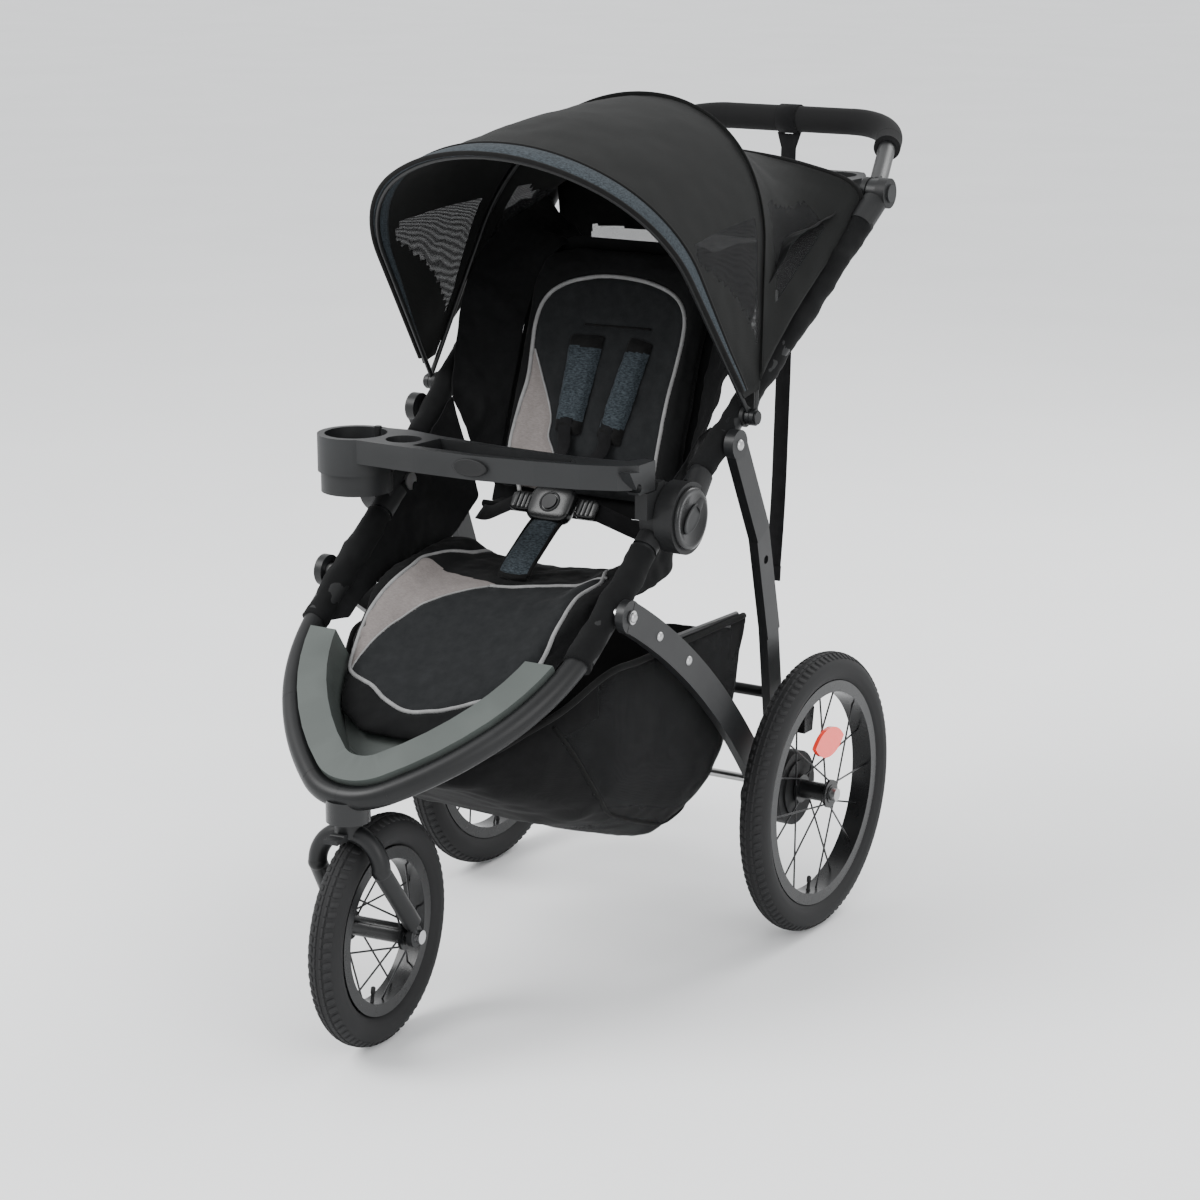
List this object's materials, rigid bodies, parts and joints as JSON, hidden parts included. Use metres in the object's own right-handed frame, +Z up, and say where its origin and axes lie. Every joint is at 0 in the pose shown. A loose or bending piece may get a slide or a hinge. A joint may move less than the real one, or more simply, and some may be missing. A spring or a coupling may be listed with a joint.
{
  "type": "jogging stroller",
  "caption": "Folding child stroller with three spoked air-tyre wheels, a swivelling front fork, reclining seat, canopy, child and parent trays, basket and a height-adjustable bar.",
  "frame": {"origin": "on the ground at the middle of the overall box", "axes": "+X to the seated child's left hand, -Y the way the stroller travels, +Z up"},
  "size_m": [0.616, 1.2422, 1.1566],
  "materials": {
    "frame": "satin powder coat",
    "plastic": "satin moulded plastic",
    "button": "satin moulded plastic",
    "steel": "bright plated steel",
    "pin": "blackened steel",
    "foam": "fine-celled foam",
    "seat_cloth": "woven cloth",
    "pad_cloth": "heathered knit cloth",
    "canopy_cloth": "woven cloth",
    "panel_cloth": "smooth lining cloth",
    "basket_cloth": "coated cloth",
    "webbing": "woven webbing",
    "foot": "ribbed rubbery plastic",
    "tyre": "matt tread rubber",
    "rim": "satin",
    "spoke": "blackened",
    "reflector": "clear red"
  },
  "bodies": {
    "front_frame": {"front_loop_tube": "frame", "lower_side_tubes": "frame", "tube_sleeves": "plastic", "fold_hub_inner": "plastic", "stay_pivots": "pin", "head_housing": "plastic", "footrest": "foot", "seat_cushion": "seat_cloth", "crotch_strap": "pad_cloth", "harness_buckle": "plastic", "basket": "basket_cloth", "basket_rods": "frame", "side_skirts": "seat_cloth", "tray_mounts": "plastic"},
    "buckle_button": {"buckle_button": "button"},
    "upper_frame": {"upper_side_tubes": "frame", "fold_hub_covers": "plastic", "fold_hub_pins": "pin", "handle_pivot_housings": "plastic", "canopy_mounts": "plastic", "parent_tray": "plastic", "canopy_rear_panel": "canopy_cloth", "back_side_panels": "seat_cloth"},
    "handlebar": {"handlebar_tube": "frame", "handle_grip": "foam", "wrist_strap": "webbing"},
    "handle_button_left": {"handle_button_left": "button"},
    "handle_button_right": {"handle_button_right": "button"},
    "canopy_mid": {"canopy_mid_bow": "frame"},
    "canopy_visor": {"canopy_visor_bow": "frame", "canopy_cover": "canopy_cloth"},
    "seat_back": {"seat_back_panel": "seat_cloth", "seat_back_pad": "seat_cloth", "shoulder_pads": "pad_cloth", "recline_puller": "webbing"},
    "child_tray": {"child_tray": "plastic"},
    "tray_button": {"tray_release_button": "button"},
    "side_stays": {"side_stays": "frame"},
    "rear_legs": {"rear_leg_tubes": "frame", "axle_brackets": "plastic", "rear_axle": "steel", "brake_drums": "plastic", "leg_cross_tube": "frame"},
    "brake_pedal": {"brake_pedal": "plastic"},
    "fork": {"fork": "frame", "front_axle": "steel"},
    "swivel_lock": {"swivel_lock": "button"},
    "front_wheel": {"front_tyre": "tyre", "front_rim": "rim", "front_spokes": "spoke", "front_hub": "rim"},
    "left_wheel": {"left_tyre": "tyre", "left_rim": "rim", "left_spokes": "spoke", "left_hub": "rim"},
    "right_wheel": {"right_tyre": "tyre", "right_rim": "rim", "right_spokes": "spoke", "right_hub": "rim", "wheel_reflector": "reflector"}
  },
  "joints": [
    {"name": "fold", "type": "hinge", "parent": "front_frame", "child": "upper_frame", "pos_m": [0, -0.1225, 0.65], "axis": [-1, 0, 0], "range_deg": [0, 93], "deforming": ["basket", "seat_back_panel", "seat_back_pad", "shoulder_pads", "back_side_panels", "side_skirts", "canopy_cover", "canopy_rear_panel", "wrist_strap", "seat_cushion"]},
    {"name": "stay_fold", "type": "hinge", "parent": "front_frame", "child": "side_stays", "pos_m": [0, -0.2585, 0.5483], "axis": [-1, 0, 0], "range_deg": [0, 48]},
    {"name": "leg_fold", "type": "hinge", "parent": "side_stays", "child": "rear_legs", "pos_m": [0, 0.1175, 0.205], "axis": [-1, 0, 0], "range_deg": [-11, 0]},
    {"name": "handle_height", "type": "hinge", "parent": "upper_frame", "child": "handlebar", "pos_m": [0, 0.3695, 1.02], "axis": [1, 0, 0], "range_deg": [-25, 20]},
    {"name": "handle_button_left_press", "type": "slide", "parent": "upper_frame", "child": "handle_button_left", "axis": [-1, 0, 0], "range_m": [-0.005, 0], "stiffness_N_per_m": 500},
    {"name": "handle_button_right_press", "type": "slide", "parent": "upper_frame", "child": "handle_button_right", "axis": [1, 0, 0], "range_m": [-0.005, 0], "stiffness_N_per_m": 500},
    {"name": "canopy_fold", "type": "hinge", "parent": "upper_frame", "child": "canopy_visor", "pos_m": [0, 0.0235, 0.7592], "axis": [1, 0, 0], "range_deg": [-63, 0], "deforming": ["canopy_cover", "canopy_rear_panel"]},
    {"name": "canopy_mid_fold", "type": "hinge", "parent": "upper_frame", "child": "canopy_mid", "pos_m": [0, 0.0235, 0.7592], "axis": [1, 0, 0], "range_deg": [-20, 0]},
    {"name": "seat_recline", "type": "hinge", "parent": "upper_frame", "child": "seat_back", "pos_m": [0, 0.0015, 0.6], "axis": [1, 0, 0], "range_deg": [-35, 0]},
    {"name": "tray_swing", "type": "hinge", "parent": "front_frame", "child": "child_tray", "pos_m": [0.209, -0.1715, 0.68], "axis": [0, 0, -1], "range_deg": [-85, 0]},
    {"name": "tray_release", "type": "slide", "parent": "child_tray", "child": "tray_button", "axis": [0, 0, 1], "range_m": [-0.004, 0], "stiffness_N_per_m": 500},
    {"name": "buckle_release", "type": "slide", "parent": "front_frame", "child": "buckle_button", "axis": [0, -0.766, 0.6428], "range_m": [-0.004, 0], "stiffness_N_per_m": 500},
    {"name": "brake_press", "type": "hinge", "parent": "rear_legs", "child": "brake_pedal", "pos_m": [0.194, 0.1915, 0.199], "axis": [1, 0, 0], "range_deg": [-25, 0]},
    {"name": "fork_swivel", "type": "hinge", "parent": "front_frame", "child": "fork", "pos_m": [0, -0.5375, 0.33], "axis": [0, 0, 1], "continuous": true},
    {"name": "swivel_lock_turn", "type": "hinge", "parent": "fork", "child": "swivel_lock", "pos_m": [0.0023, -0.56139, 0.302], "axis": [0.9954, 0.0958, 0], "range_deg": [-30, 0]},
    {"name": "front_wheel_spin", "type": "hinge", "parent": "fork", "child": "front_wheel", "pos_m": [-0.00642, -0.47081, 0.151], "axis": [0.9954, 0.0958, 0], "continuous": true},
    {"name": "left_wheel_spin", "type": "hinge", "parent": "rear_legs", "child": "left_wheel", "pos_m": [-0.274, 0.1915, 0.199], "axis": [1, 0, 0], "continuous": true},
    {"name": "right_wheel_spin", "type": "hinge", "parent": "rear_legs", "child": "right_wheel", "pos_m": [0.274, 0.1915, 0.199], "axis": [1, 0, 0], "continuous": true}
  ],
  "couplings": [
    {"joint": "stay_fold", "follows": "fold", "ratio": 0.5062},
    {"joint": "leg_fold", "follows": "fold", "ratio": -0.1127},
    {"joint": "canopy_mid_fold", "follows": "canopy_fold", "ratio": 0.31}
  ]
}
